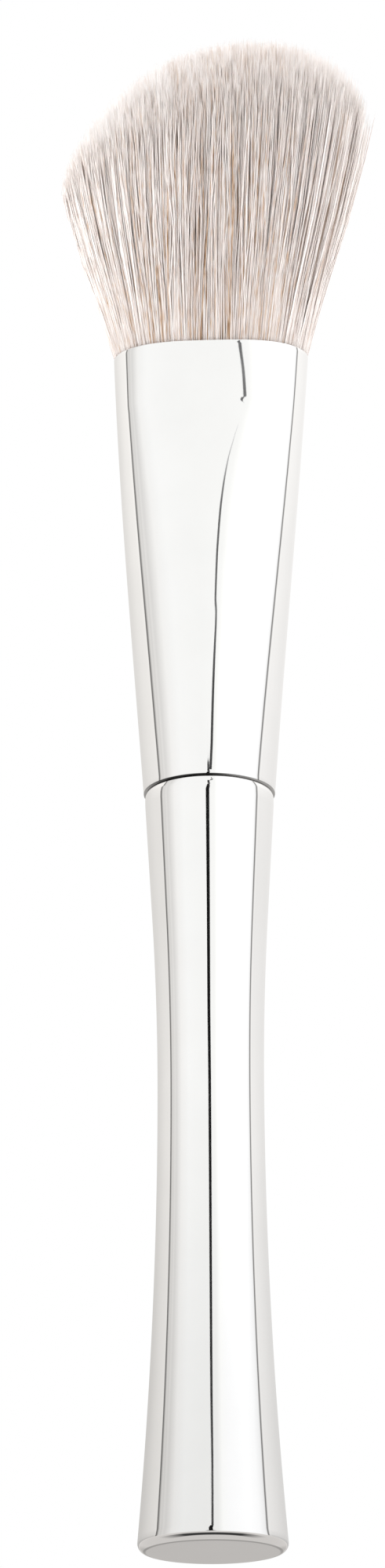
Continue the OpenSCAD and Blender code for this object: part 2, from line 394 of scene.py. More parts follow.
def section(size, around, height, inset, depth):
    """Points of the ferrule's section at angles and heights, drawn in from the outside.

    The section is an oval with flattened front and back, both then pressed in by a depth at their
    middle. The press fades out sideways with the square of a parabola.
    """
    across = np.sign(np.cos(around)) * np.abs(np.cos(around)) ** (2 / flatness(size, height))
    x = lean(height) + (half_width(size, height) - inset) * across
    dent = depth * np.sign(np.sin(around)) * (1 - across**2) ** 2
    y = (half_thickness(size, height) - inset) * np.sin(around) - dent
    return x, y


def ferrule_rings(size, height, inset, around):
    """Rings of the ferrule's section at heights above its lip, each drawn in from the outside.

    The press is averaged over a short height, so the crease is a soft bend. The heights near its middle
    weigh more, by a cosine.
    """
    spread = np.linspace(-1, 1, 9)
    weights = np.cos(spread * math.pi / 2.4)
    weights /= weights.sum()
    depth = (press(size, height[:, None] + size.crease_ease * spread) * weights).sum(1)
    x, y = section(size, around[None, :], height[:, None], inset[:, None], depth[:, None])
    return joined(x, y, (FERRULE_LOW.z + height)[:, None])


def ferrule_rows(size):
    """Heights above the lip and insets of the ferrule's rows: up the outside, over the rim, down inside.

    The rows lie closest round the crease.
    """
    lip = np.radians(np.linspace(90, 0, 10))
    lip_rows = np.stack([size.lip_edge_r * (1 - np.sin(lip)), size.lip_edge_r * (1 - np.cos(lip))], 1)
    crease, rim_low = FERRULE_H - size.band_h, FERRULE_H - size.rim_edge_r
    fine_low, fine_high = crease - 4 * MM, crease + 3 * MM
    parts = ((size.lip_edge_r, fine_low, 90), (fine_low, fine_high, 57), (fine_high, rim_low, 12))
    heights = np.concatenate([np.linspace(low, high, count)[1:] for low, high, count in parts])
    outside = np.stack([heights, np.zeros(len(heights))], 1)
    rim = np.radians(np.linspace(0, 90, 6)[1:])
    rim_out = np.stack(
        [FERRULE_H - size.rim_edge_r * (1 - np.sin(rim)), size.rim_edge_r * (1 - np.cos(rim))], 1
    )
    rim_in = np.stack([rim_out[::-1, 0], size.wall - rim_out[::-1, 1]], 1)
    inner = np.linspace(rim_low, 0, 40)[1:]
    inside = np.stack([inner, np.full(len(inner), size.wall)], 1)
    return np.concatenate([lip_rows, outside, rim_out, rim_in, inside])


# Shape of the hair

# Gap between the core and the roots of the fibres
CORE_GAP = 0.1 * MM
# Share of the way to its clump that a fibre's tip is drawn, on the whole
CLUMP_PULL = 0.3
# How far a fibre's root usually strays from under its tip, as a share of the mouth
ROOT_STRAY = 0.03
# Usual size of the slow sideways wave of a fibre
WAVE_SIZE = 0.22 * MM
# Usual difference in length from clump to clump
CLUMP_STEP = 0.12 * MM
# In millimetres: how far a fibre stands proud of the dome, how uneven that is, and the most it falls short
PROUD = 0.7
PROUD_SPREAD = 0.2
MOST_SHORT = 3.5
# Share of a fibre's length over which it is even, and how much of its thickness is gone at its tip
EVEN_PART = 0.62
THINNED = 0.65
# Width of a fibre on its map
MAP_WIDTH = 1 / 900
# The tones of the streaks are spread about a middle one, and less so towards the two sides
MIDDLE_TONE = 0.56
TONE_SPREAD = 0.95
SIDE_CALM = 0.6


def disc_points(rng, count, inner, outer):
    """Random points of a ring of the unit disc, as even as their area."""
    around = rng.uniform(0, TURN, count)
    reach = np.sqrt(rng.uniform(inner**2, outer**2, count))
    return np.stack([reach * np.cos(around), reach * np.sin(around)], 1)


def mouth_point(ferrule, hair, place):
    """Where a fibre leaves the mouth: the mouth's section, shrunk by the fibre's share of the radius."""
    full = np.array([FERRULE_H])
    around = np.arctan2(place[:, 1], place[:, 0])
    reach = np.hypot(place[:, 0], place[:, 1])
    x, y = section(ferrule, around, full, ferrule.wall + hair.hair_gap, press(ferrule, full))
    x = lean(full) + (x - lean(full)) * reach
    return np.stack([x, y * reach, np.full(len(place), FERRULE_HIGH.z)], 1)


def furrow(hair, around, amount):
    """Depth of the furrows between the locks: two cosines round the tuft, a fast and a slow one."""
    slow_count, slow_start = round(hair.lock_count * 0.38), math.radians(40)
    fast = 0.32 * np.cos(hair.lock_count * around)
    slow = 0.18 * np.cos(slow_count * around + slow_start)
    return hair.lock_depth * amount * (0.5 - fast - slow)


def dome_point(hair, around, reach, inset=0.0):
    """Point of the dome over the sloping widest ring, at a share of its radius.

    Out and up follow a superellipse, fuller on the long side than on the short one.
    """
    reach = np.clip(reach, 0, 1)
    mean, change = (hair.full_long + hair.full_short) / 2, (hair.full_long - hair.full_short) / 2
    full = mean + change * np.cos(around)
    lift = hair.dome_h * np.clip(1 - reach**full, 0, 1) ** (1 / full)
    along = (hair.fan_half_w - inset) * reach * np.cos(around)
    across = (hair.fan_half_t - inset) * reach * np.sin(around)
    cos_trim, sin_trim = math.cos(hair.trim_angle), math.sin(hair.trim_angle)
    x = hair.fan_shift + along * cos_trim - lift * sin_trim
    z = FERRULE_HIGH.z + hair.shoulder_h + along * sin_trim + lift * cos_trim
    return joined(x, across, z)


def core_grid(ferrule, hair, columns):
    """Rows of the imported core: up inside the ferrule, out along the fan and over the dome, drawn in."""
    around = round_angles(columns)
    depth = np.linspace(HAIR_LOW.z - FERRULE_LOW.z, FERRULE_H, 9)
    inset = np.full(len(depth), ferrule.wall + hair.hair_gap + CORE_GAP)
    roots = ferrule_rings(ferrule, depth, inset, around)
    mouth = roots[-1]
    ring = dome_point(hair, around, np.ones(columns), hair.core_inset + furrow(hair, around, 1))
    share = np.linspace(0, 1, 25)[1:, None, None]
    fan = mouth + (ring - mouth) * share + hair.fan_bow * 4 * share * (1 - share) * outwards(around)
    dome = []
    for climb in np.radians(np.linspace(0, 87, 15)[1:]):
        reach = math.cos(climb)
        inset = hair.core_inset + furrow(hair, around, reach)
        row = dome_point(hair, around, np.full(columns, reach), inset)
        dome.append(row - [0, 0, hair.core_drop * math.sin(climb)])
    return np.concatenate([roots, fan, np.array(dome)])


def gather(rng, place, centres):
    """Draws each point of the disc towards its nearest clump centre, some more and some less.

    Also gives each one's clump. The points are taken a thousand at a time, to save memory.
    """
    clump = np.empty(len(place), np.int64)
    for start in range(0, len(place), 1000):
        part = place[start : start + 1000]
        gap = ((part[:, None, :] - centres[None, :, :]) ** 2).sum(-1)
        clump[start : start + 1000] = gap.argmin(1)
    amount = CLUMP_PULL * rng.uniform(0.2, 1.8, (len(place), 1))
    return place + (centres[clump] - place) * amount, clump


def streak_tones(rng, hair):
    """Tones of the streaks, as a function of places on the disc.

    The disc is cut into cells, narrow across the view and long along it, each with one tone, and each
    column of cells starts at its own offset. At the two narrow sides of the oval, the cells are short
    and turned.
    """
    short, side_wedge = 0.16 * hair.streak_d, 0.25
    half_across, half_deep = 1.1, 1.2
    columns, rows = int(2 * half_across / hair.streak_w), int(2 * half_deep / short) + 2
    tones = rng.beta(1.3, 1.1, (2, columns, rows))
    offsets = rng.uniform(0, 1, (2, columns))

    def tone_at(place):
        sideways = np.abs(place[:, 1]) < side_wedge * np.abs(place[:, 0])
        narrow = np.where(sideways, place[:, 1], place[:, 0])
        deep = np.where(sideways, place[:, 0], place[:, 1])
        column = ((narrow + half_across) / hair.streak_w).astype(int).clip(0, columns - 1)
        side = sideways.astype(int)
        step = np.where(sideways, short, hair.streak_d)
        row = ((deep + half_deep) / step + offsets[side, column]).astype(int).clip(0, rows - 1)
        return tones[side, column, row]

    return tone_at


def fibre_paths(rng, ferrule, hair, place, tips, longer, steps):
    """Paths of fibres as an array of fibres by steps by xyz.

    Each runs from its place in the mouth to its place on the dome, a little longer or shorter. It is
    bowed outwards by a parabola and waved sideways by one slow sine, which grows over its first third.
    Steps below 0 go down into the mouth.
    """
    start = mouth_point(ferrule, hair, place)
    around = np.arctan2(tips[:, 1], tips[:, 0])
    reach = np.hypot(tips[:, 0], tips[:, 1])
    inset = furrow(hair, around, 1) * reach**3
    end = dome_point(hair, around, reach, inset)
    line = end - start
    span = np.linalg.norm(line, axis=1, keepdims=True)
    end = end + line / span * longer[:, None]
    step = np.clip(steps, 0, None)[None, :, None]
    path = start[:, None, :] + (end - start)[:, None, :] * step
    swell = outwards(around) * reach[:, None] ** 2
    path += hair.fan_bow * 4 * (step - step**2) * swell[:, None, :]
    side = np.stack([-np.sin(around), np.cos(around), np.zeros(len(around))], 1)
    each = (len(place), 1)
    size = rng.normal(0, WAVE_SIZE, each)
    turns, shift = rng.uniform(0.5, 1.3, each), rng.uniform(0, 1, each)
    wave = size * np.sin(TURN * (turns * steps + shift)) * np.clip(steps * 3, 0, 1)
    path += side[:, None, :] * wave[:, :, None]
    path[:, :, 2] += np.minimum(steps, 0)[None, :] * span
    return path


def taper(steps):
    """Thickness of a fibre along its length: even, then thinning by a cube over its last part."""
    last = np.clip((steps - EVEN_PART) / (1 - EVEN_PART), 0, 1)
    return 1 - THINNED * last**3


def fibre_mesh(name, rng, path, steps, radius, tone):
    """Tapered three-sided tubes along the paths, each closed at its root and drawn to a point at its tip.

    The map of a fibre runs along its length in v, and its place in u is its tone.
    """
    count, rings = path.shape[0], path.shape[1] - 1
    along = np.gradient(path, axis=1)
    along /= np.linalg.norm(along, axis=2, keepdims=True)
    aside = np.cross(along, [0.0, 1.0, 0.0])
    aside /= np.linalg.norm(aside, axis=2, keepdims=True)
    facing = np.cross(along, aside)
    thick = radius[:, None] * taper(steps)[None, :]
    turn = rng.uniform(0, TURN, (count, 1, 1)) + np.arange(3) * TURN / 3
    aside_part = np.cos(turn)[..., None] * aside[:, :rings, None, :]
    facing_part = np.sin(turn)[..., None] * facing[:, :rings, None, :]
    ring = path[:, :rings, None, :] + thick[:, :rings, None, None] * (aside_part + facing_part)
    points = np.concatenate([ring.reshape(count, -1, 3), path[:, -1:, :]], 1)
    per_fibre = points.shape[1]

    last = (rings - 1) * 3
    quads = band_faces(rings, 3)
    tip = np.array([[last + corner, last + (corner + 1) % 3, rings * 3] for corner in range(3)])
    root = np.array([[2, 1, 0]])
    side_u = np.array([[0, 1, 1, 0], [1, 2, 2, 1], [2, 3, 3, 2]])
    quad_u = np.tile(side_u, (rings - 1, 1))
    quad_v = np.repeat(np.stack([steps[: rings - 1], steps[1:rings]], 1), 3, 0)[:, [0, 0, 1, 1]]
    tip_u = np.array([[corner, corner + 1, corner + 0.5] for corner in range(3)])
    tip_v = np.broadcast_to([steps[rings - 1], steps[rings - 1], steps[rings]], (3, 3))
    root_u = np.array([[2.5, 1.5, 0.5]])
    root_v = np.array([[steps[0], steps[0] + 0.002, steps[0]]])

    shift = (np.arange(count) * per_fibre)[:, None, None]
    faces = [(part[None] + shift).reshape(-1, part.shape[1]) for part in (quads, tip, root)]
    places = []
    for part_u, part_v in ((quad_u, quad_v), (tip_u, tip_v), (root_u, root_v)):
        u = tone[:, None, None] + (part_u[None] - 1.5) * MAP_WIDTH / 3
        v = np.broadcast_to(np.clip(part_v, 0, 1)[None], u.shape)
        places.append(np.stack([u, v], -1).reshape(-1, 2))
    return put_mesh(name, points.reshape(-1, 3), faces, {STRAND_MAP: np.concatenate(places)})


# Materials

# Height over which painted shade darkens the lower handle, and height of the painted dark line of shade
# round a lower edge
SHADE_FADE_H = 50 * MM
SHADE_LINE_H = 0.5 * MM
# The painted dark line of shade round the lower edge of each metal, as (share of its height, grey) stops
HANDLE_SHADE_LINE = [(0.0, 1.0), (0.02, 0.45), (0.1, 0.45), (0.18, 1.0)]
FERRULE_SHADE_LINE = [(0.0, 0.04), (0.22, 0.04), (0.36, 1.0)]
# The least grey of that line from the short side to the long one, a painted reflection that pales it, as
# (share of the way, grey) stops
LIFT_REACH = 7 * MM
LINE_REFLECTION_LIFT = [
    (0.0, 0.5),
    (0.08, 0.28),
    (0.16, 0.1),
    (0.25, 0.0),
    (0.5, 0.0),
    (0.61, 0.15),
    (0.7, 0.42),
    (1.0, 0.5),
]


def clear_tree(owner):
    """The emptied node tree of a material or a world."""
    owner.use_nodes = True
    owner.node_tree.nodes.clear()
    return owner.node_tree


def node_tree(name):
    """A new material with one Principled shader."""
    material = bpy.data.materials.new(name)
    tree = clear_tree(material)
    shader = add(tree, "BsdfPrincipled")
    add(tree, "OutputMaterial", {"Surface": shader.outputs["BSDF"]})
    return material, tree, shader


def add(tree, kind, links=None, **values):
    """Adds a node. links gives sockets for its inputs, and values sets its properties and inputs."""
    node = tree.nodes.new("ShaderNode" + kind)
    for name, value in values.items():
        if hasattr(node, name):
            setattr(node, name, value)
        else:
            node.inputs[name].default_value = value
    for name, source in (links or {}).items():
        tree.links.new(source, node.inputs[name])
    return node


def ramp(tree, source, stops):
    """Colour of a ramp through stops, each of which is a place and a colour or a grey."""
    node = add(tree, "ValToRGB", {"Fac": source})
    points = node.color_ramp.elements
    while len(points) < len(stops):
        points.new(1.0)
    for point, (place, tint) in zip(points, stops):
        point.position = place
        point.color = (tint, tint, tint, 1.0) if isinstance(tint, float) else (*tint, 1.0)
    return node.outputs["Color"]


def ranged(tree, source, low, high, start=0.0, end=1.0, kind="LINEAR"):
    """A value carried over from one range to another and held at both ends."""
    node = add(tree, "MapRange", {"Value": source}, interpolation_type=kind)
    values = {"From Min": low, "From Max": high, "To Min": start, "To Max": end}
    for name, value in values.items():
        node.inputs[name].default_value = value
    return node.outputs["Result"]


def stretched(tree, source, scale):
    """A place or a map stretched by a scale for each of its axes."""
    node = add(tree, "Mapping", {"Vector": source})
    node.inputs["Scale"].default_value = scale
    return node.outputs["Vector"]


def noise(tree, source, scale, detail, roughness=0.5):
    """Value of a noise over a place or a map."""
    node = add(tree, "TexNoise", {"Vector": source}, Scale=scale, Detail=detail, Roughness=roughness)
    return node.outputs["Fac"]


def mixed(tree, factor, first, second, blend="MIX"):
    """Mixes two colours, each of which is a socket or three numbers."""
    node = add(tree, "Mix", data_type="RGBA", blend_type=blend)
    for name, value in (("Factor", factor), ("A", first), ("B", second)):
        if isinstance(value, bpy.types.NodeSocket):
            tree.links.new(value, node.inputs[name])
        else:
            node.inputs[name].default_value = value if name == "Factor" else (*value, 1.0)
    return node.outputs["Result"]


def maths(tree, operation, first, second=None):
    """A calculation with one or two values, each of which is a socket or a number."""
    node = add(tree, "Math", operation=operation)
    for slot, value in enumerate((first, second)):
        if isinstance(value, bpy.types.NodeSocket):
            tree.links.new(value, node.inputs[slot])
        elif value is not None:
            node.inputs[slot].default_value = value
    return node.outputs["Value"]


def polished_metal(name, tint, roughness, stretch, low_shade, line_z, line):
    """Bright plated metal: buffing haze and hairlines, finest along the way that it was polished.

    It fades to a share of its tint low down, a painted shade for the dimmer light that the metal
    reflects there. A thin dark line of painted shade runs round its lower edge, at line_z, and a painted
    reflection makes it paler towards both sides of the brush.
    """
    material, tree, shader = node_tree(name)
    place = add(tree, "TexCoord").outputs["Object"]
    hair_lines = noise(tree, stretched(tree, place, stretch), scale=900.0, detail=3.0)
    haze = noise(tree, place, scale=140.0, detail=4.0, roughness=0.6)
    blend = maths(tree, "MULTIPLY", hair_lines, haze)
    rough = ranged(tree, blend, 0.1, 0.45, start=roughness * 0.6, end=roughness * 1.6)
    tree.links.new(rough, shader.inputs["Roughness"])

    shades = ramp(tree, haze, [(0.3, [channel * 0.975 for channel in tint]), (0.7, tint)])
    parts = add(tree, "SeparateXYZ", {"Vector": place}).outputs
    kept = ((0.0, 0.0), (0.3, 0.15), (1.0, 1.0))
    shaded_low = [(share, low_shade + (1 - low_shade) * part) for share, part in kept]
    # Painted shade: the base colour darkens towards the foot, standing in for dimmer reflected light
    fade = ramp(tree, ranged(tree, parts["Z"], 0.0, SHADE_FADE_H), shaded_low)
    # Painted shade: a thin dark line round the lower edge, paled towards both sides by a painted reflection
    dark = ramp(tree, ranged(tree, parts["Z"], line_z, line_z + SHADE_LINE_H), line)
    lift = ramp(tree, ranged(tree, parts["X"], -LIFT_REACH, LIFT_REACH), LINE_REFLECTION_LIFT)
    fade = mixed(tree, 1.0, fade, mixed(tree, 1.0, dark, lift, "LIGHTEN"), "MULTIPLY")
    tree.links.new(mixed(tree, 1.0, shades, fade, "MULTIPLY"), shader.inputs["Base Color"])
    shader.inputs["Metallic"].default_value = 1.0
    return material


def cured_resin(name):
    """Cloudy yellowish resin with small bubbles."""
    material, tree, shader = node_tree(name)
    place = add(tree, "TexCoord").outputs["Object"]
    cloud = noise(tree, place, scale=420.0, detail=4.0)
    shades = ramp(tree, cloud, [(0.35, (0.42, 0.28, 0.10)), (0.65, (0.62, 0.45, 0.20))])
    tree.links.new(shades, shader.inputs["Base Color"])
    bubbles = add(tree, "TexVoronoi", {"Vector": place}, Scale=900.0)
    height = {"Height": bubbles.outputs["Distance"]}
    bump = add(tree, "Bump", height, Strength=0.15, Distance=0.0001)
    tree.links.new(bump.outputs["Normal"], shader.inputs["Normal"])
    shader.inputs["Roughness"].default_value = 0.3
    shader.inputs["Coat Weight"].default_value = 0.5
    return material


def fibre_tones(hair):
    """Colours of the fibres, from the tone 0 of the darkest to the tone 1 of the palest."""
    tones = (0.0, 0.18, 0.40, 0.68, 1.0)
    tints = (hair.shade, hair.warm, hair.cool, hair.pale, hair.white)
    return [(tone, tuple(tint)) for tone, tint in zip(tones, tints)]


def fibre_material(name, hair):
    """Fine synthetic fibre: its tone picks the colour, and crimps vary it along the fibre.

    It is darker towards its root and pales to its tip.
    """
    material, tree, shader = node_tree(name)
    place = add(tree, "UVMap", uv_map=STRAND_MAP).outputs["UV"]
    parts = add(tree, "SeparateXYZ", {"Vector": place}).outputs
    crimps = noise(tree, stretched(tree, place, (700.0, 16.0, 1.0)), scale=1.0, detail=1.0)
    tone = maths(tree, "ADD", parts["X"], ranged(tree, crimps, 0.3, 0.7, start=-0.2, end=0.2))
    tone = maths(tree, "ADD", tone, ranged(tree, parts["Y"], 0.0, 0.45, start=-0.1, end=0.0))
    tip = ranged(tree, parts["Y"], 0.72, 1.0, end=0.38, kind="SMOOTHSTEP")
    paler = mixed(tree, tip, ramp(tree, tone, fibre_tones(hair)), hair.tip)
    tree.links.new(paler, shader.inputs["Base Color"])
    shader.inputs["Roughness"].default_value = 0.5
    shader.inputs["Specular IOR Level"].default_value = 0.35
    return material


def core_material(name):
    """Packed fibres seen end on or between others: fine upright streaks in the fibres' colours."""
    material, tree, shader = node_tree(name)
    place = add(tree, "TexCoord").outputs["Object"]
    streaks = noise(tree, stretched(tree, place, (1.0, 1.0, 0.06)), scale=4200.0, detail=2.0)
    shades = ramp(tree, streaks, [(0.3, (0.60, 0.47, 0.38)), (0.7, (0.80, 0.68, 0.60))])
    tree.links.new(shades, shader.inputs["Base Color"])
    shader.inputs["Roughness"].default_value = 0.75
    return material


def floor_material(name, settings):
    """Pale floor that fades to white far off, and that lets the view from below through."""
    material, tree, shader = node_tree(name)
    place = add(tree, "TexCoord").outputs["Object"]
    far = add(tree, "VectorMath", {0: place}, operation="LENGTH").outputs["Value"]
    fade = ranged(tree, far, 0.4, 5.0, kind="SMOOTHSTEP")
    tint = tuple(settings.floor_tint)
    grain = noise(tree, place, scale=300.0, detail=3.0)
    shades = ramp(tree, grain, [(0.3, [channel * 0.985 for channel in tint]), (0.7, tint)])
    tree.links.new(shades, shader.inputs["Base Color"])
    shader.inputs["Roughness"].default_value = 0.8
    shader.inputs["Specular IOR Level"].default_value = 0.2
    glow = add(tree, "Emission").outputs[0]
    lit = add(tree, "MixShader", {0: fade, 1: shader.outputs["BSDF"], 2: glow}).outputs[0]
    under = add(tree, "NewGeometry").outputs["Backfacing"]
    clear = add(tree, "BsdfTransparent").outputs[0]
    whole_floor = add(tree, "MixShader", {0: under, 1: lit, 2: clear}).outputs[0]
    output = next(node for node in tree.nodes if node.type == "OUTPUT_MATERIAL")
    tree.links.new(whole_floor, output.inputs["Surface"])
    return material


# Studio


def over_angle(tree, source, low, high, stops):
    """Colour over an angle: a ramp through (degrees, grey or colour) stops between two end angles."""
    share = ranged(tree, source, math.radians(low), math.radians(high))
    return ramp(tree, share, [((degrees - low) / (high - low), tint) for degrees, tint in stops])


def panel_stops():
    """Brightness round the brush as the metal sees it, from the azimuth behind the brush and back to it.

    Azimuths are degrees from the lens to the long side. A large screen stands on either side of the
    lens, each with a dark gap at its outer edge and the left one with a few faint folds beside it. A
    dimmer screen stands behind the brush. left and right are the azimuths of the two gaps.
    """
    left, right = -90.3, 93.4
    return [
        (-180, 0.80),
        (-165, 0.80),
        (-150, 0.83),
        (-137, 0.86),
        (left - 22, 0.97),
        (left - 2.2, 1.02),
        (left - 1.2, 0.18),
        (left + 0.8, 0.20),
        (left + 2.6, 0.62),
        (left + 5, 0.80),
        (left + 8, 0.72),
        (left + 11, 0.82),
        (left + 15, 0.76),
        (left + 21, 0.86),
        (left + 28, 0.97),
        (-45, 1.02),
        (-12, 1.0),
        (8, 1.02),
        (16, 1.16),
        (60, 1.24),
        (right - 16, 1.18),
        (right - 4, 1.05),
        (right - 2.0, 0.92),
        (right - 1.0, 0.22),
        (right + 1.2, 0.25),
        (right + 3.2, 1.0),
        (right + 5, 1.09),
        (right + 16, 1.08),
        (140, 1.0),
        (180, 0.94),
    ]


def studio_world(settings):
    """White surroundings, in which polished metal sees the panels of the studio.

    What the metal sees is a function of direction. The panels follow the azimuth, and the left gap
    stands further round low down. The screens behind are warmer and dim towards the floor. Below the
    horizon lie a pale table, grey far behind the brush, and a dark card deep in front. Matt surfaces
    see white that is dimmer in front than at the sides, and brightest overhead.
    """
    world = bpy.data.worlds.new("studio")
    tree = clear_tree(world)
    direction = add(tree, "TexCoord").outputs["Generated"]
    turned = add(tree, "Mapping", {"Vector": direction})
    turned.inputs["Rotation"].default_value = (0.0, 0.0, -settings.heading)
    parts = add(tree, "SeparateXYZ", {"Vector": turned.outputs["Vector"]}).outputs
    azimuth = maths(tree, "ARCTAN2", parts["X"], maths(tree, "MULTIPLY", parts["Y"], -1.0))
    aside = maths(tree, "ABSOLUTE", azimuth)
    height = maths(tree, "ARCSINE", parts["Z"])

    low = over_angle(tree, height, 0, 40, [(0, 1.0), (17, 1.0), (20, 0.5), (22, 0.0), (40, 0.0)])
    leftward = maths(tree, "MAXIMUM", maths(tree, "MULTIPLY", azimuth, -1.0), 0.0)
    gap_shift = 0.06
    moved = maths(tree, "MULTIPLY", leftward, maths(tree, "MULTIPLY", low, gap_shift))
    panels = over_angle(tree, maths(tree, "ADD", azimuth, moved), -180, 180, panel_stops())

    behind = over_angle(tree, aside, 0, 180, [(0, 0.0), (93, 0.0), (101, 1.0), (180, 1.0)])
    dim = over_angle(tree, height, 0, 40, [(0, 0.60), (9, 0.72), (16, 0.88), (23, 1.0), (40, 1.1)])
    panels = mixed(tree, 1.0, panels, mixed(tree, behind, (1.0, 1.0, 1.0), dim), "MULTIPLY")
    warmth = [
        (-180, (1.0, 0.975, 0.94)),
        (-98, (1.0, 0.975, 0.94)),
        (-72, (1.0, 0.985, 0.96)),
        (-50, (1.0, 1.0, 0.985)),
        (12, (1.0, 1.0, 0.98)),
        (28, (1.0, 1.0, 1.0)),
        (88, (1.0, 1.0, 1.0)),
        (95, (1.0, 0.985, 0.965)),
        (180, (1.0, 0.985, 0.965)),
    ]
    panels = mixed(tree, 1.0, panels, over_angle(tree, azimuth, -180, 180, warmth), "MULTIPLY")

    table = over_angle(tree, height, -90, 0, [(-90, 0.72), (-30, 0.74), (-6, 0.76), (0, 0.88)])
    far = over_angle(tree, aside, 0, 180, [(0, 0.0), (150, 0.0), (165, 1.0), (180, 1.0)])
    level = [(-90, 0.0), (-24, 0.0), (-16, 1.0), (-5, 1.0), (-2, 0.0), (0, 0.0)]
    patch = maths(tree, "MULTIPLY", far, over_angle(tree, height, -90, 0, level))
    table = mixed(tree, patch, table, (0.57, 0.57, 0.57))
    near = over_angle(tree, aside, 0, 180, [(0, 1.0), (50, 1.0), (95, 0.0), (180, 0.0)])
    deep = [(-90, 0.0), (-52, 0.0), (-46, 1.0), (-21, 1.0), (-17, 0.0), (0, 0.0)]
    card = maths(tree, "MULTIPLY", near, over_angle(tree, height, -90, 0, deep))
    below = mixed(tree, 1.0, table, (1.0, 0.965, 0.93), "MULTIPLY")
    below = mixed(tree, card, below, (0.05, 0.05, 0.05))
    under = over_angle(tree, height, -30, 10, [(-30, 1.0), (-2, 1.0), (1, 0.0), (10, 0.0)])
    seen = mixed(tree, under, panels, below)

    sides = [(0, 0.22), (40, 0.38), (80, 0.89), (130, 0.96), (180, 0.9)]
    upwards = [(-90, 0.36), (0, 0.47), (30, 0.82), (60, 1.14), (90, 1.14)]
    round_about = over_angle(tree, aside, 0, 180, sides)
    overhead = over_angle(tree, height, -90, 90, upwards)
    matt = mixed(tree, 1.0, round_about, overhead, "MULTIPLY")

    ray = add(tree, "LightPath").outputs
    reflected = add(tree, "Background", {"Color": seen}).outputs[0]
    diffuse = add(tree, "Background", {"Color": matt}, Strength=settings.fill).outputs[0]
    plain = add(tree, "Background", Color=(1.0, 1.0, 1.0, 1.0)).outputs[0]
    lit = add(tree, "MixShader", {0: ray["Is Glossy Ray"], 1: diffuse, 2: reflected}).outputs[0]
    both = add(tree, "MixShader", {0: ray["Is Camera Ray"], 1: lit, 2: plain}).outputs[0]
    add(tree, "OutputWorld", {"Surface": both})
    return world


# Rows of the two parts of the dark slit, each with its height in millimetres, its azimuth from the front
# and its half width in degrees, and its grey. The greys follow the height up to SLIT_TOP.
SLIT_TOP = 500
NEAR_SLIT = (
    (215, 4.4, 2.2, 0.05),
    (228, 6.6, 2.0, 0.07),
    (249, 7.7, 1.6, 0.08),
    (267, 8.8, 1.1, 0.15),
    (272, 8.6, 1.0, 0.2),
    (277, 7.2, 1.0, 0.15),
    (297, 6.6, 0.95, 0.15),
    (321, 6.6, 0.8, 0.15),
    (335, 6.9, 0.6, 0.2),
    (348, 7.4, 0.4, 0.45),
    (362, 9.0, 0.25, 0.8),
)
FAR_SLIT = (
    (60, 0.0, 9.0, 0.01),
    (250, 0.0, 3.1, 0.01),
    (330, -0.3, 3.1, 0.01),
    (350, -0.3, 3.1, 0.01),
    (390, 0.8, 3.0, 0.01),
    (403, 1.0, 2.6, 0.02),
    (418, 1.2, 2.3, 0.03),
    (426, 1.5, 2.1, 0.05),
    (430, 2.4, 1.9, 0.06),
    (436, 2.8, 1.6, 0.1),
    (450, 1.5, 2.0, 0.03),
    (510, 1.2, 1.6, 0.05),
)


def slit_card(name, reach, stops):
    """Part of the dark slit between the two large screens, where the lens looks through.

    It is an upright strip at a distance from the brush's axis, seen by the metal only, with the rows
    that stops gives.
    """
    stops = np.array(stops)
    side = np.radians(stops[:, 1:2] + stops[:, 2:3] * np.linspace(-1, 1, 5))
    grid = joined(reach * np.sin(side), -reach * np.cos(side), stops[:, :1] * MM)
    rows, columns = grid.shape[:2]
    corner = (np.arange(rows - 1)[:, None] * columns + np.arange(columns - 1)).reshape(-1, 1)
    mesh = put_mesh(name, grid.reshape(-1, 3), [corner + [0, columns, columns + 1, 1]])

    material = bpy.data.materials.new(name)
    tree = clear_tree(material)
    up = add(tree, "SeparateXYZ", {"Vector": add(tree, "TexCoord").outputs["Object"]}).outputs["Z"]
    greys = [(place / SLIT_TOP, grey) for place, _, _, grey in stops.tolist()]
    shades = ramp(tree, ranged(tree, up, 0.0, SLIT_TOP * MM), greys)
    glow = add(tree, "Emission", {"Color": shades}).outputs[0]
    add(tree, "OutputMaterial", {"Surface": glow})
    mesh.materials.append(material)
    card = put_object(name, mesh)
    card.visible_camera = False
    card.visible_diffuse = False
    card.visible_shadow = False
    return card


def studio_camera(settings):
    """Camera below the foot and a little to the long side, looking up at the brush."""
    data = bpy.data.cameras.new("camera")
    data.sensor_width = 36.0
    data.lens = settings.lens
    camera = put_object("camera", data)
    x = settings.distance * math.sin(settings.heading)
    y = -settings.distance * math.cos(settings.heading)
    level = Matrix.Rotation(settings.heading + settings.pan, 4, "Z")
    tilted = level @ Matrix.Rotation(math.pi / 2 + settings.pitch, 4, "X")
    place = Matrix.Translation((x, y, -settings.drop))
    camera.matrix_world = place @ tilted @ Matrix.Rotation(settings.roll, 4, "Z")
    bpy.context.scene.camera = camera
    return camera


def studio_floor(settings):
    """Flat round floor with a hole under the foot, a ring of quads."""
    columns = 96
    around = round_angles(columns)
    radii = np.geomspace(settings.floor_hole_r, settings.floor_r, 14)[::-1, None]
    grid = joined(radii * np.cos(around), radii * np.sin(around), 0.0)
    mesh = put_mesh("floor", grid.reshape(-1, 3), [band_faces(len(radii), columns)])
    mesh.materials.append(floor_material("floor", settings))
    floor = put_object("floor", mesh)
    floor.visible_glossy = False
    return floor


